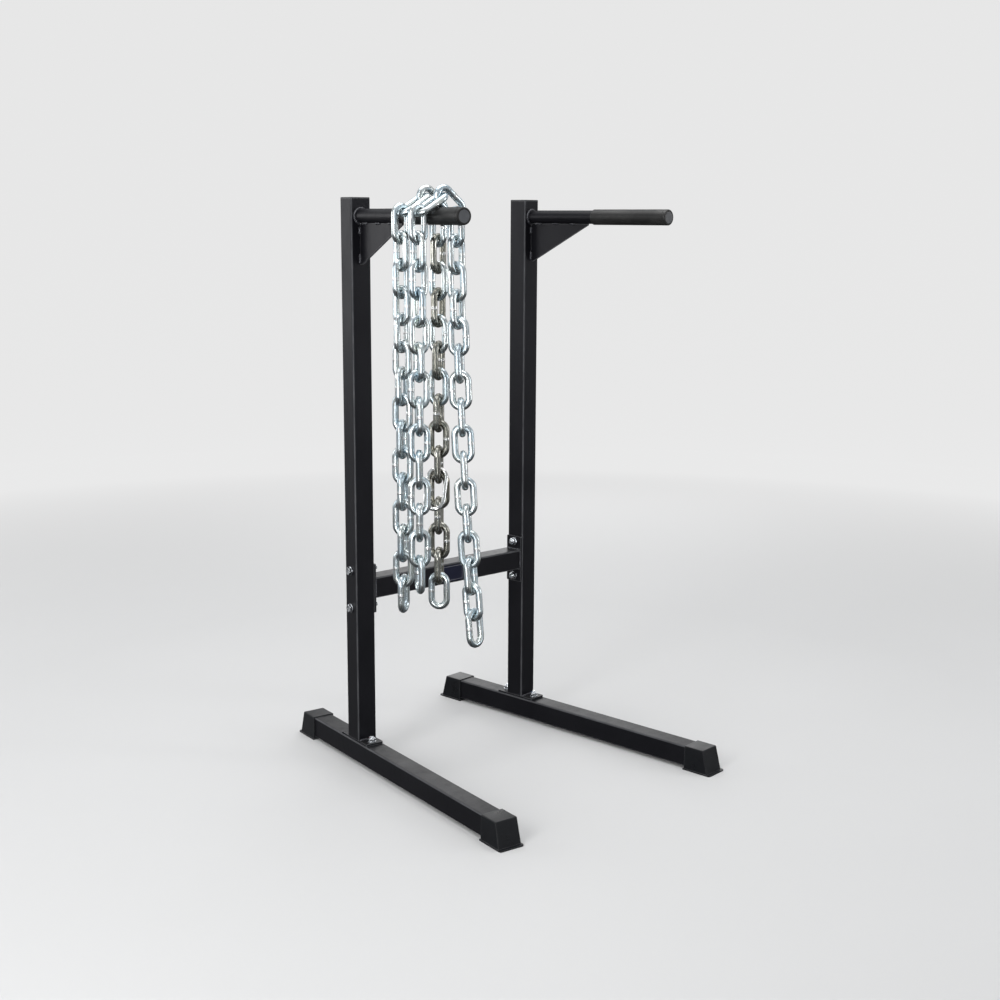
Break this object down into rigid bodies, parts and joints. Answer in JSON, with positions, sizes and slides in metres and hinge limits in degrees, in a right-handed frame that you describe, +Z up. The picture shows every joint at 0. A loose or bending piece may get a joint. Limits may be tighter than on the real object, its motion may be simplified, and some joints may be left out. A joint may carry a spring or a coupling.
{
  "type": "dip station with lifting chains",
  "caption": "Free-standing dip station: two splayed side frames with gripped dip bars, a bolted crossbar, and steel lifting chains draped over one bar.",
  "frame": {"origin": "centre of the whole object's footprint box, on the floor", "axes": "+Z up; -Y is the front, where the dip bars and the long ends of the feet point; +X is the user's left when facing the front, and the chains hang on the -X bar"},
  "size_m": [0.7172, 0.8918, 1.3584],
  "materials": {
    "frame_paint": "satin black powder coat",
    "cap_plastic": "matt black moulded plastic",
    "grip_rubber": "smooth black rubber sleeve",
    "zinc_fastener": "bright zinc plated",
    "zinc_chain": "bright zinc plated, bluish",
    "polished_steel": "bright polished plating",
    "dark_chain": "zinc plated, duller and browner"
  },
  "bodies": {
    "stand": {"left_foot_tube": "frame_paint", "left_front_foot_cap": "cap_plastic", "left_rear_foot_cap": "cap_plastic", "left_base_plate": "frame_paint", "left_upright": "frame_paint", "left_top_plug": "cap_plastic", "left_dip_bar": "frame_paint", "left_gusset": "frame_paint", "left_bar_weld": "frame_paint", "left_grip": "grip_rubber", "left_crossbar_plate": "frame_paint", "right_foot_tube": "frame_paint", "right_front_foot_cap": "cap_plastic", "right_rear_foot_cap": "cap_plastic", "right_base_plate": "frame_paint", "right_upright": "frame_paint", "right_top_plug": "cap_plastic", "right_dip_bar": "frame_paint", "right_gusset": "frame_paint", "right_bar_weld": "frame_paint", "right_grip": "grip_rubber", "right_crossbar_plate": "frame_paint", "crossbar": "frame_paint", "base_bolts": "zinc_fastener", "base_washers": "zinc_fastener", "base_nuts": "zinc_fastener", "crossbar_bolts": "zinc_fastener", "crossbar_washers": "zinc_fastener", "crossbar_nuts": "zinc_fastener"},
    "rear_chain_over_bar": {"rear_chain_saddle_link": "zinc_chain", "rear_chain_arch_link": "zinc_chain"},
    "front_chain_over_bar": {"front_chain_saddle_link": "zinc_chain", "front_chain_arch_link": "zinc_chain"},
    "rear_outer_top": {"rear_outer_top_link": "zinc_chain"},
    "rear_outer_strand": {"rear_outer_upper_links": "zinc_chain", "rear_outer_lower_links": "zinc_chain", "rear_outer_end_link": "zinc_chain"},
    "front_outer_top": {"front_outer_top_link": "zinc_chain"},
    "front_outer_strand": {"front_outer_upper_links": "zinc_chain", "front_outer_lower_links": "zinc_chain", "front_outer_end_link": "zinc_chain"},
    "rear_inner_top": {"rear_inner_top_link": "dark_chain"},
    "rear_inner_strand": {"rear_inner_upper_links": "dark_chain", "rear_inner_lower_links": "dark_chain", "rear_inner_end_link": "dark_chain"},
    "front_inner_top": {"front_inner_top_link": "zinc_chain"},
    "front_inner_strand": {"front_inner_upper_links": "zinc_chain", "front_inner_lower_links": "zinc_chain", "front_inner_end_link": "zinc_chain"},
    "snap_hook_body": {"snap_hook": "polished_steel"},
    "snap_hook_gate_body": {"snap_hook_gate": "polished_steel", "snap_hook_pin": "polished_steel"}
  },
  "joints": [
    {"name": "rear_chain_slide", "type": "slide", "parent": "stand", "child": "rear_chain_over_bar", "axis": [-0.108, -0.9942, 0], "range_m": [-0.15, 0.006]},
    {"name": "front_chain_slide", "type": "slide", "parent": "stand", "child": "front_chain_over_bar", "axis": [-0.108, -0.9942, 0], "range_m": [-0.006, 0.05]},
    {"name": "rear_outer_hook", "type": "hinge", "parent": "rear_chain_over_bar", "child": "rear_outer_top", "pos_m": [-0.32673, -0.08739, 1.2983], "axis": [0.108, 0.9942, 0], "range_deg": [0, 60]},
    {"name": "rear_outer_swing", "type": "hinge", "parent": "rear_outer_top", "child": "rear_outer_strand", "pos_m": [-0.32673, -0.08739, 1.2572], "axis": [0.108, 0.9942, 0], "range_deg": [0, 30]},
    {"name": "front_outer_hook", "type": "hinge", "parent": "front_chain_over_bar", "child": "front_outer_top", "pos_m": [-0.33396, -0.154, 1.2983], "axis": [0.108, 0.9942, 0], "range_deg": [0, 60]},
    {"name": "front_outer_swing", "type": "hinge", "parent": "front_outer_top", "child": "front_outer_strand", "pos_m": [-0.33396, -0.154, 1.2572], "axis": [0.108, 0.9942, 0], "range_deg": [0, 30]},
    {"name": "rear_inner_hook", "type": "hinge", "parent": "rear_chain_over_bar", "child": "rear_inner_top", "pos_m": [-0.23503, -0.09735, 1.30723], "axis": [-0.108, -0.9942, 0], "range_deg": [0, 60]},
    {"name": "rear_inner_swing", "type": "hinge", "parent": "rear_inner_top", "child": "rear_inner_strand", "pos_m": [-0.23503, -0.09735, 1.23493], "axis": [-0.108, -0.9942, 0], "range_deg": [0, 18]},
    {"name": "front_inner_hook", "type": "hinge", "parent": "front_chain_over_bar", "child": "front_inner_top", "pos_m": [-0.24227, -0.16396, 1.30723], "axis": [-0.108, -0.9942, 0], "range_deg": [0, 60]},
    {"name": "front_inner_swing", "type": "hinge", "parent": "front_inner_top", "child": "front_inner_strand", "pos_m": [-0.24249, -0.16607, 1.23496], "axis": [-0.108, -0.9942, 0], "range_deg": [0, 25]},
    {"name": "snap_hook_swing", "type": "hinge", "parent": "rear_inner_strand", "child": "snap_hook_body", "pos_m": [-0.23869, -0.10047, 0.74988], "axis": [-0.631, 0.7743, 0.0478], "range_deg": [0, 45]},
    {"name": "snap_hook_gate_swing", "type": "hinge", "parent": "snap_hook_body", "child": "snap_hook_gate_body", "pos_m": [-0.26246, -0.09224, 0.72118], "axis": [-0.6957, -0.5921, 0.4067], "range_deg": [0, 25]}
  ]
}
